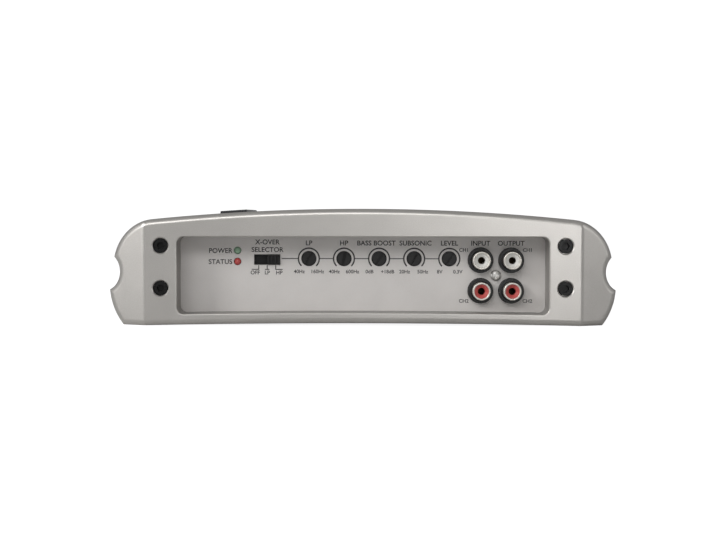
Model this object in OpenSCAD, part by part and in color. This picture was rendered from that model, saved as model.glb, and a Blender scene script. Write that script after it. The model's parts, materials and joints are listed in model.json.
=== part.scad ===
// Two-channel car audio amplifier: an extruded heat-sink body between two cast end caps.
// The frame: X across the case, +Z up, the control end faces -Y.
// The origin is at the middle of the footprint, on the surface that the amplifier is screwed to.

/* [Case] */
// Width across the bulges of the side flanks
case_w = 232.8; // [204:0.1:284]
// Height at the crown of the top
case_h = 52.9; // [50:0.1:66]
// Length from the front face to the rear face
case_l = 260; // [236:1:340]
// Length of each end cap
cap_l = 24; // [22:0.5:30]
// Step in from the end caps' outline to the heat sink's
cap_step = 1; // [0.5:0.1:2]
// Radius of the crowned top
crown_r = 940; // [700:10:2000]
// Radius of the shoulder between the top and the side
shoulder_r = 22.2; // [18:0.1:26]
// How far the shoulder lies inside the width of the flanks
shoulder_inset = 1.9; // [0:0.1:3]
// Radius of the lower flank
flank_r = 25.7; // [23:0.1:31]
// Height of the widest point of the lower flank
flank_z = 17.8; // [16:0.1:20]
// Radius of the scoop along each side
scoop_r = 9.2; // [8:0.1:14]
// Depth of the scoop below the flank
scoop_depth = 5.3; // [2:0.1:6]
// Height of the middle of the scoop
scoop_z = 24.1; // [22:0.1:28]
// Rise of the caps' bottom edge at the middle
bow_rise = 1.3; // [0.5:0.1:2]

/* [End cap faces] */
// Width of each swept-back side of the face
sweep_w = 17.8; // [12:0.1:20]
// How far the side of the face sweeps back at the case's full width
sweep_depth = 12.5; // [6:0.1:15]
// Width of the cheek between the window and the case's side
cheek_w = 32.7; // [30:0.1:38]
// From the crown of the top down to the window
top_rail = 12.7; // [11:0.1:14]
// Height of the window's sill at its ends
sill = 5.5; // [5:0.1:6.5]
// Rise of the sill at its middle
sill_bow = 0.7; // [0.2:0.1:1]
// Radius of the window's corners
window_corner_r = 3; // [1.5:0.1:5]
// Depth of the recess from the face to the panel
recess_depth = 14; // [12:0.1:16]
// Wall left under the sill behind the window
pocket_floor = 3; // [2:0.1:4]
// Width of the ledge that the panel lies against, at the sides and the top
ledge_w = 3.4; // [2.5:0.1:3.5]
// Wall of the cheeks, which are cast hollow
cheek_wall = 4; // [3:0.1:5]

/* [Cap screws] */
// Radius of the screw head
cap_head_r = 3.15; // [2.8:0.05:3.4]
// Height of the screw head
cap_head_h = 4; // [3:0.1:4.5]
// Radius of the counterbore
cap_bore_r = 3.5; // [3.45:0.05:3.8]
// Depth of the counterbore
cap_bore_depth = 5; // [4.2:0.1:6]
// Radius of the screw thread
cap_thread_r = 2; // [1.5:0.1:2.2]
// Distance from the case's side to the screws
cap_screw_inset = 25.4; // [24:0.1:27]
// Heights of the lower and the upper screws
cap_screw_z = [17.1, 36.2];
// Length of thread in the heat sink
cap_thread_grip = 9; // [6:0.5:12]

/* [Heat sink] */
// From the crown down to the ceiling of the inside
roof_t = 11; // [10:0.1:14]
// From the case's side in to the wall of the inside
wall_inset = 30.4; // [30:0.1:32]
// Width of the grooves along the top
groove_w = 3.2; // [2:0.1:4]
// Depth of the grooves
groove_depth = 3; // [1:0.1:3.5]
// Distance between the grooves
groove_pitch = 7; // [6:0.1:9]
// Number of grooves in the middle bank
middle_grooves = 11; // [3:2:13]
// Number of grooves in each outer bank
outer_grooves = 3; // [1:1:3]
// Distance from the case's side to the outermost groove
outer_groove_inset = 29.3; // [28:0.1:32]

/* [Mounting wells] */
// Distance from the case's side to the well
well_inset = 15.4; // [14.5:0.1:16.5]
// Distance between the front and the rear wells
well_spacing_y = 190; // [150:1:190]
// Radius of the well for the head of the mounting screw
well_r = 4.75; // [4:0.05:4.9]
// Radius of the hole for the mounting screw
mount_hole_r = 2.4; // [2:0.05:3]
// Thickness of the well's floor
well_floor = 4; // [3:0.1:6]

/* [Base plate] */
// Thickness of the base plate
base_t = 1.5; // [1:0.1:2]
// Height of the base plate above the mounting surface
base_lift = 1.2; // [0.5:0.1:1.5]
// Overlap of the base plate on the heat sink's wall
base_lap = 6; // [5:0.1:7]
// Distance between the screws along each side
base_screw_pitch = 80; // [60:1:90]
// Number of screws along each side
base_screw_count = 3; // [2:1:3]

/* [Badge] */
// Width of the badge
badge_w = 12.6; // [8:0.1:20]
// Length of the badge
badge_l = 60; // [30:1:100]
// Place of the badge across the top
badge_x = -60.5; // [-64:0.5:-57]
// Height of the badge above the end cap's outline
badge_proud = 1.3; // [0.5:0.1:2]
// Depth of the flat seat milled into the heat sink
badge_seat = 0.5; // [0.2:0.1:1]

/* [Panels] */
// Thickness of the sheet of both panels
sheet_t = 1.2; // [0.8:0.1:1.5]
// Gap all round a panel in its pocket
panel_gap = 0.3; // [0.1:0.05:0.5]
// Gap round each part that comes through a panel
hole_gap = 0.2; // [0.15:0.05:0.4]

/* [Rotary controls] */
// Place of the first control across the panel
first_pot_x = -24.8; // [-26:0.1:-22]
// Distance between the controls
pot_pitch = 16.1; // [13:0.1:17]
// Height of the controls
pot_z = 30.1; // [28:0.1:32]
// Radius of the slotted shaft end
pot_head_r = 3.1; // [2.5:0.05:3.6]
// Radius of the pivot inside the control
pot_pivot_r = 1.5; // [1:0.05:2]
// Radial clearance of the pivot
pivot_gap = 0.05; // [0.02:0.01:0.1]
// Gap round the shaft end in the panel
pot_hole_gap = 0.4; // [0.3:0.05:0.8]
// How far the shaft end stands out of the panel
pot_proud = 0.6; // [0.2:0.1:1.5]
// Width of the screwdriver slot
pot_slot_w = 1.1; // [0.6:0.1:1.5]
// Where each slot points, in degrees clockwise from the top
pot_turns = [30, 13, 30, 28, 33];

/* [Selector switch] */
// Middle of the switch across the panel
switch_x = -43.9; // [-45:0.1:-42]
// Height of the switch
switch_z = 29.6; // [28:0.1:32]
// Length of the slot in the panel
switch_slot_w = 12; // [10:0.1:13]
// Height of the slot in the panel
switch_slot_h = 4.8; // [3.5:0.1:6]
// Travel of the lever between its end positions
switch_travel = 6; // [4:0.1:7]
// Gap between the lever and its slot, above and below
lever_gap = 0.3; // [0.2:0.05:0.5]
// How far the lever stands out of the panel
lever_proud = 1.4; // [0.5:0.1:3]

/* [Lamps] */
// Radius of each lamp
led_r = 1.55; // [1:0.05:2.4]
// Place of the lamps across the panel
led_x = -57.5; // [-60:0.5:-54]
// Height of the lower lamp
led_z = 28.7; // [27.5:0.1:30]
// Distance between the lamps
led_pitch = 5.08; // [4.5:0.01:6]
// How far each lamp stands out of the panel
led_proud = 0.8; // [0.2:0.1:1.5]

/* [Line sockets] */
// Gap between the last control's body and the socket block
socket_gap = 1.4; // [0.5:0.1:4]
// Middle height of the group of sockets
socket_z = 22.5; // [21.5:0.1:24]
// Distance between the sockets, both ways
socket_pitch = 14; // [13:0.1:15]
// Radius of the black collar round each socket
collar_r = 5.7; // [5:0.05:6]
// How far the collar stands out of the panel
collar_proud = 3; // [1:0.1:4]
// Radius of the metal shell, which the plug slides over
shell_r = 4.1; // [4:0.05:4.2]
// Wall of the metal shell
shell_wall = 0.45; // [0.3:0.05:0.6]
// How far the metal shell stands out of the panel
shell_proud = 7.5; // [6:0.1:9]
// How much wider the shell is where the collar grips it
shell_root = 0.3; // [0.2:0.05:0.5]
// Radius of the hole for the plug's pin
pin_hole_r = 1.65; // [1.6:0.01:1.8]

/* [Terminals and fuses] */
// Middle height of the terminals and the fuses
terminal_z = 22; // [20:0.1:24]
// Height of both terminal blocks
terminal_h = 21; // [18:0.1:24]
// Places in the power block
power_ways = 3; // [2:1:3]
// Distance between the places of the power block
power_pitch = 16; // [13:0.1:16]
// Middle of the power block
power_x = -52; // [-54:0.5:-50]
// Places in the speaker block
speaker_ways = 4; // [2:1:4]
// Distance between the places of the speaker block
speaker_pitch = 12; // [11:0.1:12.5]
// Middle of the speaker block
speaker_x = 50; // [48:0.5:52]
// Thickness of the ribs between the places
rib_t = 1.6; // [1:0.1:2]
// How far the face of a block stands out of the panel
block_proud = 3; // [2:0.1:4]
// How far the ribs stand out of the block's face
rib_proud = 7; // [5:0.1:7.5]
// Distance between the two fuses
fuse_pitch = 14; // [12:0.1:16]
// Width, thickness and height of a fuse's plastic body
fuse_size = [19, 5, 12];
// Travel that pulls a fuse out of its clips
fuse_travel = 16; // [14:1:20]

/* [Circuit boards] */
// Thickness of both boards
board_t = 1.6; // [1.2:0.1:2]
// Height of the underside of the main board
main_board_z = 8; // [6:0.1:9]
// Gap between the main board and the wall of the inside
board_gap = 4; // [3:0.1:6]
// Height of the top of the control board
control_board_z = 24; // [23:0.1:25]

/* [Power parts] */
// Number of transistors along each wall
transistor_count = 6; // [2:1:6]
// Distance between the transistors
transistor_pitch = 26; // [20:1:28]
// Width, thickness and height of a transistor
transistor_size = [10.2, 4.5, 15.5];
// Height of the transistors' lower edge
transistor_z = 17; // [14:0.1:20]
// Outer radius of the transformer's core
transformer_r = 22; // [18:0.5:24]
// Inner radius of the transformer's core
transformer_bore_r = 11; // [8:0.5:14]
// Height of the transformer's core
transformer_h = 16; // [10:0.5:20]
// Radius of the large capacitors
rail_cap_r = 11; // [8:0.5:12]
// Height of the large capacitors
rail_cap_h = 29; // [20:0.5:30]

/* [Hidden] */
$fn = 64;
POT_NAMES = ["lowpass", "highpass", "bass", "subsonic", "level"];

// Clearance round a screw's thread in the hole that it is screwed into
thread_gap = 0.05;
// Extra length that takes a cut past the face it starts from
past = 1;
// Sides of the very large circles that the crown and the bowed edges are arcs of
large_arc_fn = 2880;

half_w = case_w / 2;
half_l = case_l / 2;
body_half_l = half_l - cap_l;
crown_z = case_h - crown_r;
shoulder_x = half_w - shoulder_inset - shoulder_r;
shoulder_z = crown_z + sqrt(pow(crown_r - shoulder_r, 2) - pow(shoulder_x, 2));
flank_x = half_w - flank_r;
foot_x = flank_x + sqrt(pow(flank_r, 2) - pow(flank_z, 2));

window_w = case_w - 2 * cheek_w;
window_h = case_h - top_rail - sill;
window_mid_z = sill + window_h / 2;
pocket_w = window_w + 2 * ledge_w;
pocket_top = sill + window_h + ledge_w;
panel_y = recess_depth - half_l;
panel_back_y = panel_y + sheet_t;
cap_back_y = -body_half_l;

cavity_half_w = half_w - wall_inset;
cavity_floor = base_lift + base_t;
cavity_top = case_h - roof_t;
base_half_w = cavity_half_w + base_lap;

main_board_top = main_board_z + board_t;
main_board_half_w = cavity_half_w - board_gap;
main_board_half_l = body_half_l - board_gap;

// Height of the crowned top at x, step millimetres inside the caps' outline
function top_z(x, step) = crown_z + sqrt(pow(crown_r - step, 2) - x * x);

// Radius of a circle that rises by rise over a chord twice as long as half_chord
function bow_r(half_chord, rise) = (pow(half_chord, 2) + pow(rise, 2)) / (2 * rise);

// ---- Helpers ----

// Extrudes an outline drawn in X and Z along Y
module along_y(from, to) {
  translate([0, to, 0]) rotate([90, 0, 0]) linear_extrude(height = to - from) children();
}

// Puts children drawn in X and Y, with their tops at +Z, on a plane that faces the front
module facing_front(x, y, z) {
  translate([x, y, z]) rotate([90, 0, 0]) children();
}

// A block from one corner to the other
module block(low, high) {
  translate(low) cube(high - low);
}

module both_sides() {
  children();
  mirror([1, 0, 0]) children();
}

module at_rear() {
  mirror([0, 1, 0]) children();
}

module rounded_rect(w, h, r) {
  square([w, h - 2 * r], center = true);
  square([w - 2 * r, h], center = true);
  for (sx = [-1, 1], sy = [-1, 1])
    translate([sx * (w / 2 - r), sy * (h / 2 - r)]) circle(r = r);
}

// A screw with its head's seat at z = 0 and its thread going down
module screw(head_r, head_h, thread_r, thread_l) {
  cylinder(r = head_r, h = head_h);
  translate([0, 0, -thread_l]) cylinder(r = thread_r, h = thread_l);
}

module socket_head_screw(head_r, head_h, thread_r, thread_l) {
  socket_r = head_r * 0.55;
  difference() {
    screw(head_r, head_h, thread_r, thread_l);
    translate([0, 0, head_h / 2]) cylinder(r = socket_r, h = head_h, $fn = 6);
  }
}

module cross_head_screw(head_r, head_h, thread_r, thread_l) {
  arm = [head_r * 1.2, head_r * 0.26, head_h];
  dome_r = head_r * 1.7;
  difference() {
    intersection() {
      screw(head_r, head_h, thread_r, thread_l);
      union() {
        translate([0, 0, head_h - dome_r]) sphere(r = dome_r);
        translate([0, 0, -thread_l]) cylinder(r = head_r, h = thread_l);
      }
    }
    for (turn = [0, 90])
      rotate([0, 0, turn]) translate([-arm.x / 2, -arm.y / 2, head_h * 0.4]) cube(arm);
  }
}

// ---- Case ----

// Outline of the case, drawn in X and Z, a step inside the end caps'
module case_outline(step) {
  difference() {
    union() {
      intersection() {
        translate([0, crown_z]) circle(r = crown_r - step, $fn = large_arc_fn);
        translate([-shoulder_x, 0]) square([2 * shoulder_x, case_h]);
      }
      for (side = [-1, 1]) {
        translate([side * shoulder_x, shoulder_z]) circle(r = shoulder_r - step);
        intersection() {
          translate([side * flank_x, flank_z]) circle(r = flank_r - step);
          translate([-half_w, 0]) square([case_w, shoulder_z]);
        }
      }
      waist = half_w - shoulder_inset - step;
      translate([-waist, flank_z]) square([2 * waist, shoulder_z - flank_z]);
    }
    for (side = [-1, 1])
      translate([side * (half_w - scoop_depth + scoop_r), scoop_z]) circle(r = scoop_r + step);
  }
}

// Outline of the window, drawn in X and Z
module window_outline() {
  sill_r = bow_r(window_w / 2, sill_bow);
  difference() {
    translate([0, window_mid_z]) rounded_rect(window_w, window_h, window_corner_r);
    translate([0, sill + sill_bow - sill_r]) circle(r = sill_r, $fn = large_arc_fn);
  }
}

// The pocket that a panel sits in, drawn in X and Z, a gap inside its walls
module pocket_outline(gap) {
  translate([gap - pocket_w / 2, pocket_floor + gap])
    square([pocket_w - 2 * gap, pocket_top - pocket_floor - 2 * gap]);
}

module at_cap_screws() {
  for (side = [-1, 1], z = cap_screw_z)
    facing_front(side * (half_w - cap_screw_inset), cap_bore_depth - half_l, z) children();
}

// The body of an end cap with its swept-back sides, in the front cap's place
module cap_blank() {
  reach = half_w + past;
  slope = sweep_depth / sweep_w;
  bow = bow_r(foot_x, bow_rise);
  intersection() {
    along_y(-half_l, cap_back_y) difference() {
      case_outline(0);
      translate([0, bow_rise - bow]) circle(r = bow, $fn = large_arc_fn);
    }
    linear_extrude(height = case_h) polygon([
      [-half_w + sweep_w, -half_l],
      [half_w - sweep_w, -half_l],
      [reach, -half_l + slope * (sweep_w + past)],
      [reach, cap_back_y],
      [-reach, cap_back_y],
      [-reach, -half_l + slope * (sweep_w + past)],
    ]);
  }
}

module end_cap() {
  hollow_from = half_w - cap_screw_inset + cap_head_r + cap_thread_r;
  difference() {
    cap_blank();
    along_y(-half_l - past, cap_back_y + past) window_outline();
    along_y(panel_y, cap_back_y + past) pocket_outline(0);
    at_cap_screws() {
      cylinder(r = cap_bore_r, h = cap_bore_depth + past);
      translate([0, 0, -cap_l]) cylinder(r = cap_thread_r + thread_gap, h = cap_l + past);
    }
    both_sides() along_y(panel_y + cheek_wall / 2, cap_back_y + past) intersection() {
      case_outline(cheek_wall);
      translate([hollow_from, cheek_wall]) square([sweep_w, case_h]);
    }
  }
}

module front_end_cap() {
  color("silver") end_cap();
}

module rear_end_cap() {
  color("silver") at_rear() end_cap();
}

module cap_screws() {
  thread_l = cap_l - cap_bore_depth + cap_thread_grip;
  at_cap_screws() socket_head_screw(cap_head_r, cap_head_h, cap_thread_r, thread_l);
}

module end_cap_screws() {
  color([0.1, 0.1, 0.1]) {
    cap_screws();
    at_rear() cap_screws();
  }
}

// Places of the transistor clamp's screws along Y, between the transistors
clamp_screw_ys = [for (i = [-1, 0, 1]) i * 2 * transistor_pitch];
clamp_thread_r = 1.5;
clamp_thread_grip = 6;
clamp_screw_z = transistor_z + transistor_size.z * 0.6;

base_screw_head_r = 2.8;
base_screw_thread_r = 1.5;
base_screw_thread_l = 8;
base_screw_x = cavity_half_w + base_lap / 2;

module at_base_screws() {
  for (side = [-1, 1], i = [0 : base_screw_count - 1])
    translate([side * base_screw_x, (i - (base_screw_count - 1) / 2) * base_screw_pitch, base_lift])
      children();
}

groove_xs = concat(
  [for (i = [0 : middle_grooves - 1]) (i - (middle_grooves - 1) / 2) * groove_pitch],
  [for (side = [-1, 1], i = [0 : outer_grooves - 1])
    side * (half_w - outer_groove_inset - i * groove_pitch)]
);

module badge_blank(x_margin, y_margin) {
  thickness = badge_proud + cap_step + badge_seat;
  rotate([0, asin(badge_x / crown_r), 0])
    translate([-badge_w / 2 - x_margin, -badge_l - y_margin, -thickness])
      cube([badge_w + 2 * x_margin, badge_l + 2 * y_margin, thickness]);
}

// Puts the badge's top just above the end cap's outline, with its front end behind the cap
module at_badge() {
  front_gap = 3;
  translate([badge_x, badge_l - body_half_l + front_gap, top_z(badge_x, 0) + badge_proud]) children();
}

module heatsink_body() {
  color("silver") difference() {
    along_y(-body_half_l, body_half_l) difference() {
      case_outline(cap_step);
      translate([-cavity_half_w, -past]) square([2 * cavity_half_w, cavity_top + past]);
      translate([-base_half_w - panel_gap, -past])
        square([2 * (base_half_w + panel_gap), cavity_floor + past]);
      for (x = groove_xs)
        translate([x - groove_w / 2, top_z(x, cap_step) - groove_depth]) square([groove_w, case_h]);
    }
    for (sx = [-1, 1], sy = [-1, 1]) translate([sx * (half_w - well_inset), sy * well_spacing_y / 2, 0]) {
      translate([0, 0, well_floor]) cylinder(r = well_r, h = case_h);
      translate([0, 0, -past]) cylinder(r = mount_hole_r, h = well_floor + 2 * past);
    }
    for (end = [0, 1]) mirror([0, end, 0]) at_cap_screws()
      translate([0, 0, cap_bore_depth - cap_l - cap_thread_grip - past])
        cylinder(r = cap_thread_r + thread_gap, h = cap_thread_grip + 2 * past);
    at_base_screws()
      cylinder(r = base_screw_thread_r + thread_gap, h = base_t + base_screw_thread_l + past);
    for (side = [-1, 1], y = clamp_screw_ys)
      translate([side * cavity_half_w, y, clamp_screw_z]) rotate([0, side * 90, 0])
        translate([0, 0, -past])
          cylinder(r = clamp_thread_r + thread_gap, h = clamp_thread_grip + 2 * past);
    at_badge() badge_blank(hole_gap, hole_gap);
  }
}

module top_badge() {
  color([0.15, 0.15, 0.16]) at_badge() badge_blank(0, 0);
}

// Places of the standoffs under the main board
standoff_r = 2.9;
standoff_inset = 7;
function standoff_places() = [
  for (sx = [-1, 1], sy = [-1, 0, 1])
    [sx * (main_board_half_w - standoff_inset), sy * (main_board_half_l - standoff_inset)]
];
board_screw_r = 1.5;
pan_head_r = 2.7;
pan_head_h = 1.8;

module base_plate() {
  color([0.12, 0.12, 0.13]) difference() {
    block([-base_half_w, -body_half_l + panel_gap, base_lift],
          [base_half_w, body_half_l - panel_gap, cavity_floor]);
    at_base_screws() translate([0, 0, -past])
      cylinder(r = base_screw_thread_r + hole_gap, h = base_t + 2 * past);
  }
}

module base_plate_screws() {
  head_h = 0.9;
  color([0.3, 0.3, 0.32]) at_base_screws() mirror([0, 0, 1])
    cross_head_screw(base_screw_head_r, head_h, base_screw_thread_r, base_t + base_screw_thread_l);
}

// ---- Panels ----

// A folded sheet tray: a face against the cap's ledge and a rim back to the heat sink
module panel_tray() {
  difference() {
    along_y(panel_y, cap_back_y - panel_gap) pocket_outline(panel_gap);
    along_y(panel_back_y, cap_back_y + past) pocket_outline(panel_gap + sheet_t);
  }
}

// Cuts that go through the face of a panel, from an outline drawn in X and Z
module through_panel() {
  along_y(panel_y - past, panel_back_y + past) children();
}

pot_count = len(POT_NAMES);
function pot_x(i) = first_pot_x + i * pot_pitch;
socket_screw_head_r = 2.45;
socket_screw_thread_r = 1.4;

module at_sockets(rows) {
  for (column = [-1, 1], row = rows)
    facing_front(socket_x + column * socket_pitch / 2, panel_y, socket_z + row * socket_pitch / 2)
      children();
}

module control_panel() {
  color([0.78, 0.76, 0.75]) difference() {
    panel_tray();
    through_panel() {
      for (i = [0 : pot_count - 1])
        translate([pot_x(i), pot_z]) circle(r = pot_head_r + pot_hole_gap);
      for (i = [0, 1])
        translate([led_x, led_z + i * led_pitch]) circle(r = led_r + hole_gap);
      translate([switch_x, switch_z]) square([switch_slot_w, switch_slot_h], center = true);
      for (column = [-1, 1], row = [-1, 1])
        translate([socket_x + column * socket_pitch / 2, socket_z + row * socket_pitch / 2])
          circle(r = collar_r + hole_gap);
      translate([socket_x, socket_z]) circle(r = socket_screw_thread_r + hole_gap);
    }
  }
}

// ---- Controls ----

pot_body_size = [9.8, 6.8, 11.2];
pot_body_y = panel_back_y + 0.5;
pot_pivot_l = 4.5;
pot_slot_depth = 1.3;

module pot_body(i) {
  color([0.13, 0.13, 0.15]) difference() {
    block([pot_x(i) - pot_body_size.x / 2, pot_body_y, control_board_z],
          [pot_x(i) + pot_body_size.x / 2, pot_body_y + pot_body_size.y, control_board_z + pot_body_size.z]);
    facing_front(pot_x(i), pot_body_y + pot_pivot_l + pivot_gap, pot_z)
      cylinder(r = pot_pivot_r + pivot_gap, h = pot_pivot_l + past);
  }
}

module pot_shaft(i) {
  head_l = pot_proud + sheet_t;
  gap_l = pot_body_y - panel_back_y;
  color([0.08, 0.08, 0.09]) facing_front(pot_x(i), panel_back_y, pot_z) difference() {
    union() {
      cylinder(r = pot_head_r, h = head_l);
      translate([0, 0, -pot_pivot_l - gap_l + pivot_gap])
        cylinder(r = pot_pivot_r, h = pot_pivot_l + gap_l);
    }
    rotate([0, 0, -pot_turns[i]])
      translate([-pot_slot_w / 2, -pot_head_r - past, head_l - pot_slot_depth])
        cube([pot_slot_w, 2 * (pot_head_r + past), pot_slot_depth + past]);
  }
}

switch_body_size = [15, 6, 8];
switch_body_y = panel_back_y + 0.2;
switch_slot_depth = 3;
lever_end_gap = 0.15;
lever_w = switch_slot_w - switch_travel - 2 * lever_end_gap;
lever_ribs = 3;

module selector_switch_body() {
  color([0.1, 0.1, 0.11]) {
    difference() {
      block([switch_x - switch_body_size.x / 2, switch_body_y, switch_z - switch_body_size.z / 2],
            [switch_x + switch_body_size.x / 2, switch_body_y + switch_body_size.y,
             switch_z + switch_body_size.z / 2]);
      along_y(switch_body_y - past, switch_body_y + switch_slot_depth)
        translate([switch_x, switch_z]) square([switch_slot_w, switch_slot_h], center = true);
    }
    for (i = [-1, 0, 1])
      block([switch_x + i * 4 - 0.5, switch_body_y + 3, control_board_z],
            [switch_x + i * 4 + 0.5, switch_body_y + 3.5, switch_z - switch_body_size.z / 2]);
  }
}

// The lever rests at the right-hand end of its slot
module selector_switch_lever() {
  lever_x = switch_x + switch_travel / 2;
  lever_h = switch_slot_h - 2 * lever_gap;
  lever_y = panel_y - lever_proud;
  groove = lever_w / (2 * lever_ribs + 1);
  color([0.08, 0.08, 0.09]) difference() {
    block([lever_x - lever_w / 2, lever_y, switch_z - lever_h / 2],
          [lever_x + lever_w / 2, switch_body_y + switch_slot_depth - lever_gap, switch_z + lever_h / 2]);
    for (i = [1 : lever_ribs])
      translate([lever_x - lever_w / 2 + (2 * i - 1) * groove, lever_y - past, switch_z - lever_h])
        cube([groove, past + groove, 2 * lever_h]);
  }
}

// A lamp with its flange behind the panel and two legs bent down to the control board
module lamp(z, leg_y) {
  flange_y = panel_back_y + 3;
  flange_t = 1;
  leg_t = 0.5;
  leg_x = 1.27;
  facing_front(led_x, panel_y - led_proud + led_r, z) {
    sphere(r = led_r);
    translate([0, 0, -(flange_y - panel_y + led_proud - led_r)])
      cylinder(r = led_r, h = flange_y - panel_y + led_proud - led_r);
  }
  facing_front(led_x, flange_y + flange_t, z) cylinder(r = led_r + 0.4, h = flange_t);
  for (side = [-1, 1]) {
    x = led_x + side * leg_x;
    block([x - leg_t / 2, flange_y + flange_t, z - leg_t / 2], [x + leg_t / 2, leg_y + leg_t, z + leg_t / 2]);
    block([x - leg_t / 2, leg_y, control_board_z], [x + leg_t / 2, leg_y + leg_t, z]);
  }
}

module power_lamp() {
  color([0.2, 0.5, 0.25]) lamp(led_z + led_pitch, panel_back_y + 6.5);
}

module status_lamp() {
  color([0.8, 0.1, 0.1]) lamp(led_z, panel_back_y + 4.8);
}

// ---- Line sockets ----

socket_block_margin = 8;
last_pot_side = pot_x(pot_count - 1) + pot_body_size.x / 2;
socket_x = last_pot_side + socket_gap + socket_block_margin + socket_pitch / 2;
socket_block_depth = 11;
socket_block_y = panel_back_y + 0.2;
// Depth behind the panel's face at which the shells and the inserts end
insert_back = 4;
insert_front = shell_proud - 0.4;
insert_lip = 2;
contact_wall = 0.3;
solder_pin_r = 0.5;

module line_socket_block() {
  half = socket_pitch / 2 + socket_block_margin;
  color([0.07, 0.07, 0.08]) difference() {
    union() {
      block([socket_x - half, socket_block_y, socket_z - half],
            [socket_x + half, socket_block_y + socket_block_depth, socket_z + half]);
      at_sockets([-1, 1]) translate([0, 0, panel_y - socket_block_y])
        cylinder(r = collar_r, h = collar_proud + socket_block_y - panel_y);
    }
    at_sockets([-1, 1]) translate([0, 0, -insert_back]) {
      cylinder(r = shell_r + shell_root + thread_gap, h = insert_back + shell_proud);
      translate([0, 0, -socket_block_depth])
        cylinder(r = solder_pin_r + thread_gap, h = socket_block_depth + past);
    }
    facing_front(socket_x, panel_y, socket_z) translate([0, 0, -socket_block_depth])
      cylinder(r = socket_screw_thread_r + thread_gap, h = socket_block_depth + past);
  }
}

module line_socket_shells() {
  color([0.85, 0.85, 0.83]) at_sockets([-1, 1]) difference() {
    union() {
      translate([0, 0, -insert_back])
        cylinder(r = shell_r + shell_root, h = insert_back + collar_proud);
      cylinder(r = shell_r, h = shell_proud);
    }
    translate([0, 0, -insert_back - past])
      cylinder(r = shell_r - shell_wall, h = insert_back + shell_proud + 2 * past);
  }
}

module socket_inserts(row) {
  insert_l = insert_back + insert_front;
  at_sockets([row]) translate([0, 0, -insert_back]) difference() {
    cylinder(r = shell_r - shell_wall - thread_gap, h = insert_l);
    translate([0, 0, -past])
      cylinder(r = pin_hole_r + contact_wall + thread_gap, h = insert_l - insert_lip + past);
    cylinder(r = pin_hole_r, h = insert_l + past);
  }
}

module upper_socket_inserts() {
  color([0.93, 0.92, 0.88]) socket_inserts(1);
}

module lower_socket_inserts() {
  color([0.7, 0.12, 0.1]) socket_inserts(-1);
}

// Sleeves that hold the plugs' pins, each with a pin out of the back of the block
module line_socket_contacts() {
  sleeve_l = insert_back + insert_front - insert_lip;
  sleeve_floor = 1;
  color([0.8, 0.7, 0.4]) at_sockets([-1, 1]) translate([0, 0, -insert_back]) difference() {
    union() {
      cylinder(r = pin_hole_r + contact_wall, h = sleeve_l);
      translate([0, 0, -socket_block_depth]) cylinder(r = solder_pin_r, h = socket_block_depth);
    }
    translate([0, 0, sleeve_floor]) cylinder(r = pin_hole_r, h = sleeve_l);
  }
}

module line_socket_screw() {
  head_h = 1.5;
  color([0.8, 0.8, 0.8]) facing_front(socket_x, panel_y, socket_z)
    cross_head_screw(socket_screw_head_r, head_h, socket_screw_thread_r, 8);
}

// ---- Terminals, drawn at the front and moved to the rear ----

block_face_y = panel_y - block_proud;
block_back_y = panel_back_y + 8.8;
plate_t = 1;
tail_t = 1.2;
tail_y = cap_back_y + board_gap + 3.5;
tail_z = terminal_z - terminal_h / 2 + 2.2;
terminal_thread_r = 1.9;
terminal_thread_l = 6;

function way_xs(x, ways, pitch) = [for (i = [0 : ways - 1]) x + (i - (ways - 1) / 2) * pitch];

module terminal_body(x, ways, pitch) {
  half_span = ways * pitch / 2 + rib_t / 2;
  low = terminal_z - terminal_h / 2;
  high = terminal_z + terminal_h / 2;
  difference() {
    union() {
      block([x - half_span, block_face_y, low], [x + half_span, block_back_y, high]);
      for (i = [0 : ways])
        block([x - half_span + i * pitch, block_face_y - rib_proud, low],
              [x - half_span + i * pitch + rib_t, block_face_y, high]);
    }
    for (way = way_xs(x, ways, pitch)) {
      facing_front(way, block_face_y + terminal_thread_l, terminal_z)
        cylinder(r = terminal_thread_r + thread_gap, h = terminal_thread_l + past);
      block([way - pitch / 4 - thread_gap, block_face_y - past, tail_z - thread_gap],
            [way + pitch / 4 + thread_gap, block_back_y + past, tail_z + tail_t + thread_gap]);
    }
  }
}

// Contact plates on the block's face, with tails through the block and down to the main board
module terminal_plates(x, ways, pitch) {
  plate_w = pitch - rib_t - 1;
  for (way = way_xs(x, ways, pitch)) difference() {
    union() {
      block([way - plate_w / 2, block_face_y - plate_t, tail_z],
            [way + plate_w / 2, block_face_y, terminal_z + terminal_h / 2 - 2]);
      block([way - pitch / 4, block_face_y, tail_z], [way + pitch / 4, tail_y, tail_z + tail_t]);
      block([way - pitch / 4, tail_y - tail_t, main_board_top], [way + pitch / 4, tail_y, tail_z]);
    }
    facing_front(way, block_face_y, terminal_z)
      cylinder(r = terminal_thread_r + hole_gap, h = plate_t + past);
  }
}

clamp_t = 1.2;
clamp_lip_t = 0.8;

module terminal_clamps(x, ways, pitch) {
  size = pitch - rib_t - 1.6;
  lip_h = 1;
  for (way = way_xs(x, ways, pitch))
    facing_front(way, block_face_y - plate_t, terminal_z) difference() {
      union() {
        translate([-size / 2, -size / 2, 0]) cube([size, size, clamp_t]);
        for (side = [-1, 1])
          translate([side * (size - clamp_lip_t) / 2 - clamp_lip_t / 2, -size / 2, 0])
            cube([clamp_lip_t, size, clamp_t + lip_h]);
      }
      translate([0, 0, -past]) cylinder(r = terminal_thread_r + hole_gap, h = clamp_t + 2 * past);
    }
}

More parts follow.
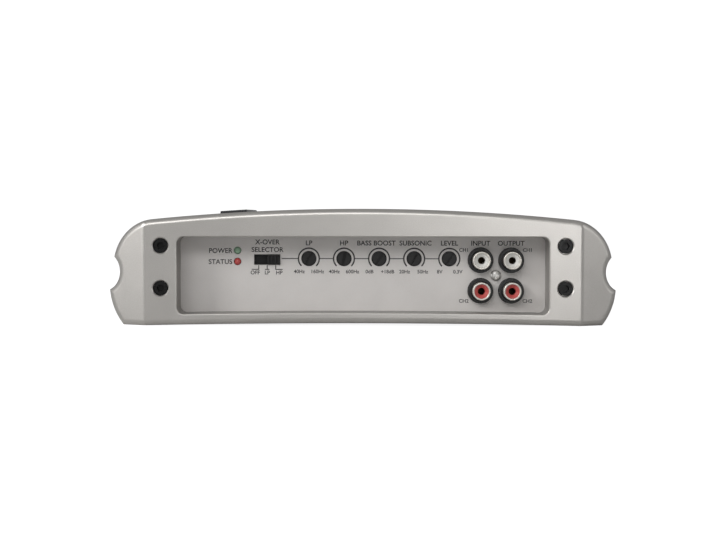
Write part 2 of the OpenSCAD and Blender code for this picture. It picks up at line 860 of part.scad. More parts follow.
module terminal_screws(x, ways, pitch) {
  head_r = pitch * 0.26;
  head_h = 2.2;
  thread_l = terminal_thread_l + plate_t + clamp_t - 0.5;
  for (way = way_xs(x, ways, pitch))
    facing_front(way, block_face_y - plate_t - clamp_t, terminal_z)
      cross_head_screw(head_r, head_h, terminal_thread_r, thread_l);
}

module power_terminal_block() {
  color([0.09, 0.09, 0.1]) at_rear() terminal_body(power_x, power_ways, power_pitch);
}

module power_terminal_plates() {
  color([0.8, 0.66, 0.35]) at_rear() terminal_plates(power_x, power_ways, power_pitch);
}

module power_terminal_clamps() {
  color([0.75, 0.75, 0.75]) at_rear() terminal_clamps(power_x, power_ways, power_pitch);
}

module power_terminal_screws() {
  color([0.82, 0.82, 0.82]) at_rear() terminal_screws(power_x, power_ways, power_pitch);
}

module speaker_terminal_block() {
  color([0.09, 0.09, 0.1]) at_rear() terminal_body(speaker_x, speaker_ways, speaker_pitch);
}

module speaker_terminal_plates() {
  color([0.8, 0.66, 0.35]) at_rear() terminal_plates(speaker_x, speaker_ways, speaker_pitch);
}

module speaker_terminal_clamps() {
  color([0.75, 0.75, 0.75]) at_rear() terminal_clamps(speaker_x, speaker_ways, speaker_pitch);
}

module speaker_terminal_screws() {
  color([0.82, 0.82, 0.82]) at_rear() terminal_screws(speaker_x, speaker_ways, speaker_pitch);
}

module panel_cutout(x, w, h) {
  translate([x, terminal_z]) square([w + 2 * hole_gap, h + 2 * hole_gap], center = true);
}

module terminal_panel() {
  color([0.78, 0.76, 0.75]) at_rear() difference() {
    panel_tray();
    through_panel() {
      panel_cutout(power_x, power_ways * power_pitch + rib_t, terminal_h);
      panel_cutout(speaker_x, speaker_ways * speaker_pitch + rib_t, terminal_h);
      panel_cutout(0, fuse_holder_w, fuse_holder_h);
    }
  }
}

// ---- Fuses ----

fuse_wall = 2.4;
fuse_fit = 0.3;
fuse_seat_depth = 6;
blade_w = 5.2;
blade_t = 0.7;
blade_l = 7;
blade_spread = 6.6;
clip_t = 0.5;
blade_gap = 0.1;
fuse_holder_proud = 5;
fuse_holder_w = fuse_pitch + fuse_size.y + 2 * fuse_fit + 2 * fuse_wall;
fuse_holder_h = fuse_size.x + 2 * fuse_fit + 2 * fuse_wall;
fuse_face_y = panel_y - fuse_holder_proud;
fuse_seat_y = fuse_face_y + fuse_seat_depth;
clip_room = [2 * (blade_gap + clip_t) + blade_t + 1, blade_w + 1, blade_l + 1];
fuse_xs = [-fuse_pitch / 2, fuse_pitch / 2];

module at_blades(fuse_x) {
  for (side = [-1, 1]) translate([fuse_x, fuse_seat_y, terminal_z + side * blade_spread]) children();
}

module fuse_holder() {
  color([0.09, 0.09, 0.1]) at_rear() difference() {
    block([-fuse_holder_w / 2, fuse_face_y, terminal_z - fuse_holder_h / 2],
          [fuse_holder_w / 2, fuse_seat_y + clip_room.z + fuse_wall, terminal_z + fuse_holder_h / 2]);
    for (x = fuse_xs) {
      block([x - fuse_size.y / 2 - fuse_fit, fuse_face_y - past, terminal_z - fuse_size.x / 2 - fuse_fit],
            [x + fuse_size.y / 2 + fuse_fit, fuse_seat_y, terminal_z + fuse_size.x / 2 + fuse_fit]);
      at_blades(x) {
        translate([-clip_room.x / 2, -past, -clip_room.y / 2])
          cube([clip_room.x, clip_room.z + past, clip_room.y]);
        translate([-blade_t / 2 - thread_gap, 0, -blade_w / 2 - thread_gap])
          cube([blade_t + 2 * thread_gap, clip_room.z + fuse_wall + past, blade_w + 2 * thread_gap]);
      }
    }
  }
}

// Spring clips: two leaves beside each blade, joined behind it, with a tail out of the holder
module fuse_clips() {
  leaf_x = blade_t / 2 + blade_gap;
  color([0.8, 0.7, 0.4]) at_rear() for (x = fuse_xs) at_blades(x) {
    for (side = [-1, 1])
      translate([side * (leaf_x + clip_t / 2) - clip_t / 2, 0.5, -blade_w / 2])
        cube([clip_t, clip_room.z - 0.5, blade_w]);
    translate([-leaf_x, clip_room.z - clip_t, -blade_w / 2]) cube([2 * leaf_x, clip_t, blade_w]);
    translate([-blade_t / 2, clip_room.z, -blade_w / 2]) cube([blade_t, fuse_wall + 2, blade_w]);
  }
}

module fuse_body(x) {
  top_y = fuse_seat_y + thread_gap - fuse_size.z;
  grip = 1;
  difference() {
    block([x - fuse_size.y / 2, top_y, terminal_z - fuse_size.x / 2],
          [x + fuse_size.y / 2, fuse_seat_y - thread_gap, terminal_z + fuse_size.x / 2]);
    for (side = [-1, 1])
      translate([x + side * fuse_size.y / 2 - grip / 2, top_y + 2, terminal_z - fuse_size.x / 2 - past])
        cube([grip, 3, fuse_size.x + 2 * past]);
    at_blades(x) translate([-blade_t / 2 - thread_gap, -fuse_size.z - past, -blade_w / 2 - thread_gap])
      cube([blade_t + 2 * thread_gap, fuse_size.z + 2 * past, blade_w + 2 * thread_gap]);
  }
}

module fuse_blades(x) {
  blade_top = 1.5;
  at_blades(x) translate([-blade_t / 2, blade_top - fuse_size.z, -blade_w / 2])
    cube([blade_t, fuse_size.z - blade_top + blade_l, blade_w]);
}

module left_fuse_body() {
  color([0.85, 0.5, 0.1]) at_rear() fuse_body(fuse_xs[0]);
}

module left_fuse_blades() {
  color([0.8, 0.8, 0.78]) at_rear() fuse_blades(fuse_xs[0]);
}

module right_fuse_body() {
  color([0.85, 0.5, 0.1]) at_rear() fuse_body(fuse_xs[1]);
}

module right_fuse_blades() {
  color([0.8, 0.8, 0.78]) at_rear() fuse_blades(fuse_xs[1]);
}

// ---- Circuit boards ----

module main_board() {
  color([0.1, 0.35, 0.15]) difference() {
    block([-main_board_half_w, -main_board_half_l, main_board_z],
          [main_board_half_w, main_board_half_l, main_board_top]);
    for (p = standoff_places()) translate([p.x, p.y, main_board_z - past])
      cylinder(r = board_screw_r + hole_gap, h = board_t + 2 * past);
  }
}

module board_standoffs() {
  color([0.7, 0.6, 0.35]) for (p = standoff_places()) translate([p.x, p.y, cavity_floor]) difference() {
    cylinder(r = standoff_r, h = main_board_z - cavity_floor, $fn = 6);
    translate([0, 0, 1]) cylinder(r = board_screw_r + thread_gap, h = main_board_z);
  }
}

module main_board_screws() {
  color([0.8, 0.8, 0.8]) for (p = standoff_places()) translate([p.x, p.y, main_board_top])
    cross_head_screw(pan_head_r, pan_head_h, board_screw_r, board_t + 3);
}

control_board_left = led_x - 6;
control_board_right = socket_x - socket_pitch / 2 - socket_block_margin - 1;
control_board_back = panel_back_y + 27;
header_y = control_board_back - 5;

module control_board() {
  color([0.1, 0.35, 0.15])
    block([control_board_left, panel_back_y + 1, control_board_z - board_t],
          [control_board_right, control_board_back, control_board_z]);
}

module board_link_header() {
  header_half_w = 22;
  header_half_t = 1.3;
  color([0.1, 0.1, 0.1])
    block([-header_half_w, header_y - header_half_t, main_board_top],
          [header_half_w, header_y + header_half_t, control_board_z - board_t]);
}

// Small signal chips on the control board, with their legs
module control_chips() {
  body = [9.6, 6.2, 3.3];
  leg = [0.5, 0.9, 1.6];
  leg_pitch = 2.54;
  legs_a_side = 4;
  chip_count = 5;
  chip_pitch = 19;
  color([0.09, 0.09, 0.1]) for (i = [0 : chip_count - 1])
    translate([control_board_left + 14 + i * chip_pitch, control_board_back - 14, control_board_z]) {
      translate([-body.x / 2, -body.y / 2, 0.4]) cube(body);
      for (side = [-1, 1], n = [0 : legs_a_side - 1]) {
        x = (n - (legs_a_side - 1) / 2) * leg_pitch;
        y = side * (body.y + leg.y) / 2;
        translate([x - leg.x / 2, y - leg.y / 2, 0]) cube(leg);
      }
    }
}

// ---- Power parts ----

winding_t = 1.6;
transformer_place = [-36, 38];
transformer_turns = 26;
choke_r = 13;
choke_bore_r = 7;
choke_h = 11;
choke_place = [-46, -28];
choke_turns = 14;

module ring_core(outer_r, inner_r, height) {
  translate([0, 0, winding_t + thread_gap]) difference() {
    cylinder(r = outer_r, h = height);
    translate([0, 0, -past]) cylinder(r = inner_r, h = height + 2 * past);
  }
}

// Loops of flat wire round a ring core, each a closed frame in a radial plane
module ring_winding(outer_r, inner_r, height, turns) {
  window = [outer_r - inner_r + 2 * thread_gap, height + 2 * thread_gap];
  loop_size = [window.x + 2 * winding_t, window.y + 2 * winding_t];
  for (i = [0 : turns - 1]) rotate([90, 0, i * 360 / turns])
    translate([(outer_r + inner_r) / 2, loop_size.y / 2, -winding_t / 2])
      linear_extrude(height = winding_t) difference() {
        rounded_rect(loop_size.x, loop_size.y, winding_t);
        square(window, center = true);
      }
}

module transformer_core() {
  color([0.25, 0.4, 0.3]) translate([transformer_place.x, transformer_place.y, main_board_top])
    ring_core(transformer_r, transformer_bore_r, transformer_h);
}

module transformer_winding() {
  color([0.72, 0.4, 0.2]) translate([transformer_place.x, transformer_place.y, main_board_top])
    ring_winding(transformer_r, transformer_bore_r, transformer_h, transformer_turns);
}

module choke_core() {
  color([0.85, 0.8, 0.3]) translate([choke_place.x, choke_place.y, main_board_top])
    ring_core(choke_r, choke_bore_r, choke_h);
}

module choke_winding() {
  color([0.72, 0.4, 0.2]) translate([choke_place.x, choke_place.y, main_board_top])
    ring_winding(choke_r, choke_bore_r, choke_h, choke_turns);
}

// A can capacitor with a rolled groove near its foot and a rounded top edge
module can_capacitor(r, h) {
  edge = 0.8;
  groove_z = 3;
  difference() {
    union() {
      cylinder(r = r, h = h - edge);
      cylinder(r = r - edge, h = h);
      translate([0, 0, h - edge]) rotate_extrude() translate([r - edge, 0]) circle(r = edge);
    }
    translate([0, 0, groove_z]) rotate_extrude() translate([r + edge / 2, 0]) circle(r = edge);
  }
}

module rail_capacitors() {
  color([0.12, 0.14, 0.3]) for (x = [8, 36], y = [16, 46])
    translate([x, y, main_board_top]) can_capacitor(rail_cap_r, rail_cap_h);
}

module input_capacitors() {
  color([0.12, 0.14, 0.3]) for (x = [-66, -44])
    translate([x, main_board_half_l - 24, main_board_top]) can_capacitor(8, 25);
}

pad_t = 0.4;
pad_margin = 4;
bar_t = 3;
bar_h = 9;
tab_front = cavity_half_w - pad_t;
bar_face = tab_front - transistor_size.y;
transistor_row_l = (transistor_count - 1) * transistor_pitch + transistor_size.x;

// Transistors with their backs to the right-hand wall and three legs down to the main board
module transistor_row() {
  leg = [0.8, 0.6];
  leg_pitch = 2.54;
  tab_t = 1.3;
  tab_h = 6;
  for (i = [0 : transistor_count - 1]) {
    y = (i - (transistor_count - 1) / 2) * transistor_pitch;
    block([bar_face, y - transistor_size.x / 2, transistor_z],
          [tab_front, y + transistor_size.x / 2, transistor_z + transistor_size.z - tab_h + 3]);
    difference() {
      block([tab_front - tab_t, y - transistor_size.x / 2, transistor_z + transistor_size.z - tab_h + 3],
            [tab_front, y + transistor_size.x / 2, transistor_z + transistor_size.z + 3]);
      translate([tab_front - tab_t - past, y, transistor_z + transistor_size.z]) rotate([0, 90, 0])
        cylinder(r = 1.8, h = tab_t + 2 * past);
    }
    for (n = [-1, 0, 1])
      block([bar_face + 0.4, y + n * leg_pitch - leg.x / 2, main_board_top],
            [bar_face + 0.4 + leg.y, y + n * leg_pitch + leg.x / 2, transistor_z]);
  }
}

module output_transistors() {
  color([0.11, 0.11, 0.12]) transistor_row();
}

module power_transistors() {
  color([0.11, 0.11, 0.12]) mirror([1, 0, 0]) transistor_row();
}

module insulating_pads() {
  color([0.75, 0.78, 0.8]) both_sides() difference() {
    block([tab_front, -transistor_row_l / 2 - pad_margin, transistor_z - 2],
          [cavity_half_w, transistor_row_l / 2 + pad_margin, cavity_top - 1]);
    for (y = clamp_screw_ys) translate([tab_front - past, y, clamp_screw_z]) rotate([0, 90, 0])
      cylinder(r = clamp_thread_r + hole_gap, h = pad_t + 2 * past);
  }
}

// A bar along each row of transistors, which presses them to the wall
module transistor_clamp_bars() {
  color([0.6, 0.6, 0.62]) both_sides() difference() {
    block([bar_face - bar_t, -transistor_row_l / 2, clamp_screw_z - bar_h / 2],
          [bar_face, transistor_row_l / 2, clamp_screw_z + bar_h / 2]);
    for (y = clamp_screw_ys) translate([bar_face - bar_t - past, y, clamp_screw_z]) rotate([0, 90, 0])
      cylinder(r = clamp_thread_r + hole_gap, h = bar_t + 2 * past);
  }
}

module clamp_bar_screws() {
  thread_l = bar_t + transistor_size.y + pad_t + clamp_thread_grip;
  color([0.8, 0.8, 0.8]) both_sides() for (y = clamp_screw_ys)
    translate([bar_face - bar_t, y, clamp_screw_z]) rotate([0, -90, 0])
      cross_head_screw(pan_head_r, pan_head_h, clamp_thread_r, thread_l);
}

heatsink_body();
base_plate();
base_plate_screws();
front_end_cap();
rear_end_cap();
end_cap_screws();
control_panel();
terminal_panel();
top_badge();
main_board();
board_standoffs();
main_board_screws();
control_board();
board_link_header();
control_chips();
for (i = [0 : pot_count - 1]) {
  pot_body(i);
  pot_shaft(i);
}
selector_switch_body();
selector_switch_lever();
power_lamp();
status_lamp();
line_socket_block();
line_socket_shells();
upper_socket_inserts();
lower_socket_inserts();
line_socket_contacts();
line_socket_screw();
power_terminal_block();
power_terminal_plates();
power_terminal_clamps();
power_terminal_screws();
speaker_terminal_block();
speaker_terminal_plates();
speaker_terminal_clamps();
speaker_terminal_screws();
fuse_holder();
fuse_clips();
left_fuse_body();
left_fuse_blades();
right_fuse_body();
right_fuse_blades();
transformer_core();
transformer_winding();
choke_core();
choke_winding();
rail_capacitors();
input_capacitors();
power_transistors();
output_transistors();
insulating_pads();
transistor_clamp_bars();
clamp_bar_screws();
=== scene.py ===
"""Looks of the two-channel car amplifier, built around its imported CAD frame.

The frame is the CAD's: X across the case, +Z up, the control end faces -Y. Lengths are in metres,
and values written in millimetres are multiplied by MM.
"""
import json
import math

import bmesh
import bpy
from mathutils import Matrix, Vector


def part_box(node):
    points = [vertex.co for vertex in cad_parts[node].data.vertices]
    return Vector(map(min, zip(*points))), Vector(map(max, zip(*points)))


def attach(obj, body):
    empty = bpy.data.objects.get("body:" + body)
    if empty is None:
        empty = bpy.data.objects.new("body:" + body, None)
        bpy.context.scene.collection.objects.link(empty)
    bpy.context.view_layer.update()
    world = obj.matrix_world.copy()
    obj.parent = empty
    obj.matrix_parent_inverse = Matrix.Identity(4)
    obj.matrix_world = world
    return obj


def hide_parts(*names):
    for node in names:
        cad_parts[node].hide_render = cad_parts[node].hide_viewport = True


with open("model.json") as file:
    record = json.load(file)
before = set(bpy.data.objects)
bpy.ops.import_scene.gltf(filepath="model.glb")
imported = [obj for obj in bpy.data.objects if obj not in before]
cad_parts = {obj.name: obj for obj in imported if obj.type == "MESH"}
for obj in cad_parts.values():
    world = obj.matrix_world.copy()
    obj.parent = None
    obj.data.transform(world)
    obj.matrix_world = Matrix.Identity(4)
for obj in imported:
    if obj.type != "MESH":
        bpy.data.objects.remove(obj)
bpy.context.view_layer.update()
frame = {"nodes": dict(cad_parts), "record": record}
nodes = frame["nodes"]

MM = 0.001
CASE = "case"

# ---- Sizes of the end caps, as the CAD has them ----

cap_low, cap_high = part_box("front_end_cap")
HALF_W = cap_high.x
CASE_H = cap_high.z
FRONT = cap_low.y
CAP_BACK = cap_high.y
CROWN_R = 940 * MM
SHOULDER_R = 22.2 * MM
SHOULDER_INSET = 1.9 * MM
FLANK_R = 25.7 * MM
FLANK_Z = 17.8 * MM
SCOOP_R = 9.2 * MM
SCOOP_DEPTH = 5.3 * MM
SCOOP_Z = 24.1 * MM
BOW_RISE = 1.3 * MM
SWEEP_W = 17.8 * MM
SWEEP_DEPTH = 12.5 * MM
CHEEK_W = 32.7 * MM
TOP_RAIL = 12.7 * MM
SILL = 5.5 * MM
SILL_BOW = 0.7 * MM
WINDOW_CORNER_R = 3 * MM
POCKET_FLOOR = 3 * MM
LEDGE_W = 3.4 * MM
CAP_BORE_R = 3.5 * MM
CAP_BORE_DEPTH = 5 * MM
CAP_THREAD_R = 2.05 * MM
CAP_SCREW_X = HALF_W - 25.4 * MM
CAP_SCREW_Z = (17.1 * MM, 36.2 * MM)
PAST = 1 * MM

# Roundings that the castings have and the CAD leaves sharp: the front edge, the window's lip,
# the lip of each screw well, and half the width over which the face turns back
EDGE_R = 2.8 * MM
LIP_R = 0.6 * MM
BORE_LIP = 0.45 * MM
FOLD_BLEND = 1.1 * MM
FOLD_STEPS = 9

PANEL_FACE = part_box("control_panel")[0].y
# Half the thickness of the printed legends
INK_T = 0.02 * MM
POTS = ("lowpass", "highpass", "bass", "subsonic", "level")


# ---- Mesh helpers ----

def add_object(name, mesh, body=CASE, stands_for=()):
    """Puts a mesh in the scene on a body, in the place of the CAD nodes that it stands for."""
    obj = bpy.data.objects.new(name, mesh)
    bpy.context.scene.collection.objects.link(obj)
    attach(obj, body)
    if stands_for:
        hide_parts(*stands_for)
    return obj


def mesh_from(name, bm):
    """Ends a bmesh and gives its mesh, with all its faces pointing out."""
    bmesh.ops.recalc_face_normals(bm, faces=bm.faces)
    mesh = bpy.data.meshes.new(name)
    bm.to_mesh(mesh)
    bm.free()
    return mesh


def smooth(mesh, sharp_deg):
    """Smooth shading, but for the edges that turn by more than an angle."""
    mesh.shade_smooth()
    mesh.set_sharp_from_angle(angle=math.radians(sharp_deg))


def loft(bm, rings):
    """Skins a row of closed rings of equal length and closes both ends."""
    loops = [[bm.verts.new(p) for p in ring] for ring in rings]
    for low, high in zip(loops, loops[1:]):
        for i in range(len(low)):
            j = (i + 1) % len(low)
            bm.faces.new((low[i], low[j], high[j], high[i]))
    bm.faces.new(loops[0])
    bm.faces.new(list(reversed(loops[-1])))


def lathe(bm, place, profile, sides=48):
    """Turns a closed profile of (radius, how far forward) pairs about a line that faces -Y."""
    loops = []
    for radius, forward in profile:
        ring = []
        for i in range(sides):
            turn = math.tau * i / sides
            ring.append(bm.verts.new(place + Vector((radius * math.cos(turn), -forward,
                                                     radius * math.sin(turn)))))
        loops.append(ring)
    for low, high in zip(loops, loops[1:] + loops[:1]):
        for i in range(sides):
            j = (i + 1) % sides
            bm.faces.new((low[i], low[j], high[j], high[i]))


def carve(obj, cutters):
    """Cuts other objects out of one, then removes them."""
    for cutter in cutters:
        cut = obj.modifiers.new("cut", "BOOLEAN")
        cut.operation = "DIFFERENCE"
        cut.solver = "EXACT"
        cut.object = cutter
    bake(obj)
    for cutter in cutters:
        bpy.data.objects.remove(cutter)


def bake(obj):
    """Replaces an object's mesh by what its modifiers make of it."""
    depsgraph = bpy.context.evaluated_depsgraph_get()
    made = bpy.data.meshes.new_from_object(obj.evaluated_get(depsgraph))
    obj.modifiers.clear()
    obj.data = made


def cutter_from(rings):
    """An object to cut with, skinned over a row of rings."""
    bm = bmesh.new()
    loft(bm, rings)
    cutter = bpy.data.objects.new("cutter", mesh_from("cutter", bm))
    bpy.context.scene.collection.objects.link(cutter)
    return cutter


def round_edges(obj, width):
    """Softens the sharp edges of an object whose flat faces may be cut into triangles."""
    weld = obj.modifiers.new("weld", "WELD")
    weld.merge_threshold = 1e-6
    flat = obj.modifiers.new("flat", "DECIMATE")
    flat.decimate_type = "DISSOLVE"
    flat.angle_limit = math.radians(1)
    bevel = obj.modifiers.new("bevel", "BEVEL")
    bevel.width = width
    bevel.segments = 3
    bevel.limit_method = "ANGLE"
    bevel.angle_limit = math.radians(35)
    bevel.harden_normals = True


# ---- Outline of the case ----

def circles_meet(centre_a, r_a, centre_b, r_b, choose):
    """The point where two circles in X and Z meet, picked from the two by a key."""
    across = centre_b - centre_a
    along = (r_a ** 2 - r_b ** 2 + across.length_squared) / (2 * across.length)
    off = math.sqrt(max(r_a ** 2 - along ** 2, 0))
    axis = across.normalized()
    middle = centre_a + axis * along
    side = Vector((-axis.y, axis.x)) * off
    return max((middle + side, middle - side), key=choose)


def arc(centre, start, end, count):
    """Points from start up to but not including end, round a centre the short way."""
    first = start - centre
    last = end - centre
    turn = math.atan2(first.x * last.y - first.y * last.x, first.dot(last))
    return [centre + Matrix.Rotation(turn * i / count, 2) @ first for i in range(count)]


def case_ring(inset, y):
    """The case's outline, an inset inside the end cap's, at one Y."""
    crown = Vector((0, CASE_H - CROWN_R))
    shoulder_x = HALF_W - SHOULDER_INSET - SHOULDER_R
    shoulder = Vector((shoulder_x, crown.y + math.sqrt((CROWN_R - SHOULDER_R) ** 2 - shoulder_x ** 2)))
    scoop = Vector((HALF_W - SCOOP_DEPTH + SCOOP_R, SCOOP_Z))
    flank = Vector((HALF_W - FLANK_R, FLANK_Z))
    foot_x = flank.x + math.sqrt(FLANK_R ** 2 - FLANK_Z ** 2)
    bow_r = (foot_x ** 2 + BOW_RISE ** 2) / (2 * BOW_RISE)
    bow = Vector((0, BOW_RISE - bow_r))
    top = Vector((0, CASE_H - inset))
    tangent = shoulder + (shoulder - crown).normalized() * (SHOULDER_R - inset)
    upper_cusp = circles_meet(shoulder, SHOULDER_R - inset, scoop, SCOOP_R + inset, lambda p: p.y)
    lower_cusp = circles_meet(flank, FLANK_R - inset, scoop, SCOOP_R + inset, lambda p: -p.y)
    foot = circles_meet(flank, FLANK_R - inset, bow, bow_r + inset, lambda p: p.x)
    bottom = Vector((0, BOW_RISE + inset))
    right = arc(crown, top, tangent, 28)
    right += arc(shoulder, tangent, upper_cusp, 26)
    right += arc(scoop, upper_cusp, lower_cusp, 18)
    right += arc(flank, lower_cusp, foot, 18)
    right += arc(bow, foot, bottom, 20)
    left = [Vector((-p.x, p.y)) for p in reversed(right[1:])]
    return [Vector((p.x, y, p.y)) for p in right + [bottom] + left]


def window_ring(outset, y):
    """The window's outline, an outset outside it, at one Y."""
    corner_steps = 8
    sill_steps = 24
    half = HALF_W - CHEEK_W + outset
    top = CASE_H - TOP_RAIL + outset
    radius = WINDOW_CORNER_R + outset
    points = []
    corners = ((half - radius, top - radius, 0), (radius - half, top - radius, 90),
               (radius - half, SILL + WINDOW_CORNER_R, 180), (half - radius, SILL + WINDOW_CORNER_R, 270))
    for x, z, start in corners:
        for i in range(corner_steps + 1):
            turn = math.radians(start + 90 * i / corner_steps)
            points.append(Vector((x + radius * math.cos(turn), y, z + radius * math.sin(turn))))
        if start == 180:
            for i in range(1, sill_steps):
                along = x + (half - radius - x) * i / sill_steps
                rise = SILL_BOW * (1 - (along / half) ** 2)
                points.append(Vector((along, y, SILL - outset + rise)))
    return points


def box_ring(half_w, low, high, y):
    corners = ((half_w, high), (-half_w, high), (-half_w, low), (half_w, low))
    return [Vector((x, y, z)) for x, z in corners]


def circle_ring(x, z, radius, y, sides=48):
    turns = [math.tau * i / sides for i in range(sides)]
    return [Vector((x + radius * math.cos(t), y, z + radius * math.sin(t))) for t in turns]


# ---- End caps ----

def sweep_back(x):
    """How far the face lies behind its flat middle at x, with a soft fold."""
    beyond = abs(x) - (HALF_W - SWEEP_W)
    slope = SWEEP_DEPTH / SWEEP_W
    if beyond <= -FOLD_BLEND:
        return 0
    if beyond >= FOLD_BLEND:
        return slope * beyond
    return slope * (beyond + FOLD_BLEND) ** 2 / (4 * FOLD_BLEND)


def cap_blank():
    """The casting before its openings, with a rounded front edge."""
    steps = 8
    rings = []
    for i in range(steps, -1, -1):
        turn = math.radians(90) * i / steps
        rings.append(case_ring(EDGE_R * (1 - math.cos(turn)), FRONT + EDGE_R * (1 - math.sin(turn))))
    rings.append(case_ring(0, CAP_BACK))
    bm = bmesh.new()
    loft(bm, rings)
    blank = bpy.data.objects.new("front_cap_casting", mesh_from("front_cap_casting", bm))
    bpy.context.scene.collection.objects.link(blank)
    return blank


def window_cutter():
    """The window, which opens out at the face in a small round lip."""
    steps = 4
    lips = [(LIP_R + PAST, FRONT - PAST)]
    for i in range(steps + 1):
        turn = math.radians(90) * i / steps
        lips.append((LIP_R * (1 - math.sin(turn)), FRONT + LIP_R * (1 - math.cos(turn))))
    return cutter_from([window_ring(out, y) for out, y in lips] + [window_ring(0, CAP_BACK + PAST)])


def pocket_cutter():
    """The wider space behind the window, where the tray sits."""
    half_w = HALF_W - CHEEK_W + LEDGE_W
    top = CASE_H - TOP_RAIL + LEDGE_W
    return cutter_from([box_ring(half_w, POCKET_FLOOR, top, y) for y in (PANEL_FACE, CAP_BACK + PAST)])


def screw_cutters(x, z):
    """The well of one cap screw's head, and the hole for its thread."""
    seat = FRONT + CAP_BORE_DEPTH
    well = [(CAP_BORE_R + BORE_LIP + PAST, FRONT - PAST), (CAP_BORE_R + BORE_LIP, FRONT),
            (CAP_BORE_R, FRONT + BORE_LIP), (CAP_BORE_R, seat)]
    hole = (seat - PAST, CAP_BACK + PAST)
    return [cutter_from([circle_ring(x, z, r, y) for r, y in well]),
            cutter_from([circle_ring(x, z, CAP_THREAD_R, y, 24) for y in hole])]


def sweep_sides(bm):
    """Moves the face back beyond both folds, on edges cut close together for a soft turn."""
    touch = 1e-6
    fold = HALF_W - SWEEP_W
    for side in (-1, 1):
        for i in range(FOLD_STEPS):
            x = side * (fold + FOLD_BLEND * (2 * i / (FOLD_STEPS - 1) - 1))
            bmesh.ops.bisect_plane(bm, geom=bm.verts[:] + bm.edges[:] + bm.faces[:], dist=touch / 10,
                                   plane_co=(x, 0, 0), plane_no=(1, 0, 0))
    for vert in bm.verts:
        if vert.co.y < FRONT + EDGE_R + touch and abs(vert.co.x) > fold - FOLD_BLEND:
            vert.co.y += sweep_back(vert.co.x)


def cap_mesh():
    """The front end cap: a rounded blank, its window, pocket and screw wells, and its swept sides."""
    cap = cap_blank()
    cutters = [window_cutter(), pocket_cutter()]
    for side in (-1, 1):
        for z in CAP_SCREW_Z:
            cutters += screw_cutters(side * CAP_SCREW_X, z)
    carve(cap, cutters)
    bm = bmesh.new()
    bm.from_mesh(cap.data)
    sweep_sides(bm)
    bpy.data.objects.remove(cap)
    return mesh_from("cap_casting", bm)


def shade_paint_on_window_walls(mesh):
    """Gives the window's walls the second material, a darker paint that is painted shade on the recess walls.
    """
    near = 0.2 * MM
    for face in mesh.polygons:
        place = face.center
        in_width = abs(place.x) < HALF_W - CHEEK_W + near
        in_height = SILL - SILL_BOW - near < place.z < CASE_H - TOP_RAIL + near
        if in_width and in_height and abs(place.y) < -FRONT - LIP_R:
            face.material_index = 1


def make_end_caps():
    """The front casting and its mirror image at the rear."""
    front_mesh = cap_mesh()
    rear_mesh = front_mesh.copy()
    rear_mesh.transform(Matrix.Scale(-1, 4, (0, 1, 0)))
    rear_mesh.flip_normals()
    for name, mesh, node in (("front_cap_casting", front_mesh, "front_end_cap"),
                             ("rear_cap_casting", rear_mesh, "rear_end_cap")):
        smooth(mesh, 30)
        cap = add_object(name, mesh, CASE, (node,))
        weighted = cap.modifiers.new("weighted", "WEIGHTED_NORMAL")
        weighted.keep_sharp = True
        cap.data.materials.append(materials["silver_paint"])
        # The second material darkens the window's walls: painted shade on the recess walls.
        cap.data.materials.append(materials["window_wall_shade_paint"])
        shade_paint_on_window_walls(cap.data)


# ---- Printed legends ----

def lettering(name, words, x, z, height, anchor="CENTER"):
    """Words printed on the panel: x is the anchor's place and z the middle of the letters."""
    # Share of the type's size that its capitals are tall
    cap_share = 0.7
    curve = bpy.data.curves.new(name, "FONT")
    curve.body = words
    curve.size = height / cap_share
    curve.align_x = anchor
    curve.extrude = INK_T
    curve.space_character = 1.02
    curve.offset = height * 0.025
    source = bpy.data.objects.new(name, curve)
    depsgraph = bpy.context.evaluated_depsgraph_get()
    bpy.context.scene.collection.objects.link(source)
    depsgraph.update()
    mesh = bpy.data.meshes.new_from_object(source.evaluated_get(depsgraph))
    bpy.data.objects.remove(source)
    mesh.transform(Matrix.Translation((x, PANEL_FACE, z - height / 2)) @ Matrix.Rotation(math.pi / 2, 4, "X"))
    mesh.materials.clear()
    mesh.materials.append(materials["print"])
    return add_object(name, mesh)


def bar(bm, x0, x1, z0, z1):
    """A thin printed bar between two corners on the panel."""
    low = (x0, PANEL_FACE - INK_T, z0)
    size = (x1 - x0, 2 * INK_T, z1 - z0)
    shape = bmesh.ops.create_cube(bm, size=1)["verts"]
    for vert in shape:
        vert.co = Vector([low[i] + (vert.co[i] + 0.5) * size[i] for i in range(3)])


def printed_arc(bm, x, z, outer, inner, half_turn):
    """A printed arc round a control, open at the bottom."""
    steps = 40
    loops = []
    for i in range(steps + 1):
        turn = half_turn * (2 * i / steps - 1)
        loop = []
        for radius, y in ((outer, -INK_T), (outer, INK_T), (inner, INK_T), (inner, -INK_T)):
            loop.append(bm.verts.new((x + radius * math.sin(turn), PANEL_FACE + y,
                                      z + radius * math.cos(turn))))
        loops.append(loop)
    for low, high in zip(loops, loops[1:]):
        for i in range(4):
            j = (i + 1) % 4
            bm.faces.new((low[i], low[j], high[j], high[i]))
    bm.faces.new(loops[0])
    bm.faces.new(list(reversed(loops[-1])))


def ring_profile(outer, inner, back, front, lip):
    """A tube's closed section as (radius, forward) pairs, with a rounded lip at the front."""
    steps = 6
    profile = [(inner, back), (outer, back)]
    for i in range(steps + 1):
        turn = math.radians(90) * i / steps
        profile.append((outer - lip * (1 - math.cos(turn)), front - lip * (1 - math.sin(turn))))
    for i in range(steps + 1):
        turn = math.radians(90) * i / steps
        profile.append((inner + lip * (1 - math.sin(turn)), front - lip * (1 - math.cos(turn))))
    return profile


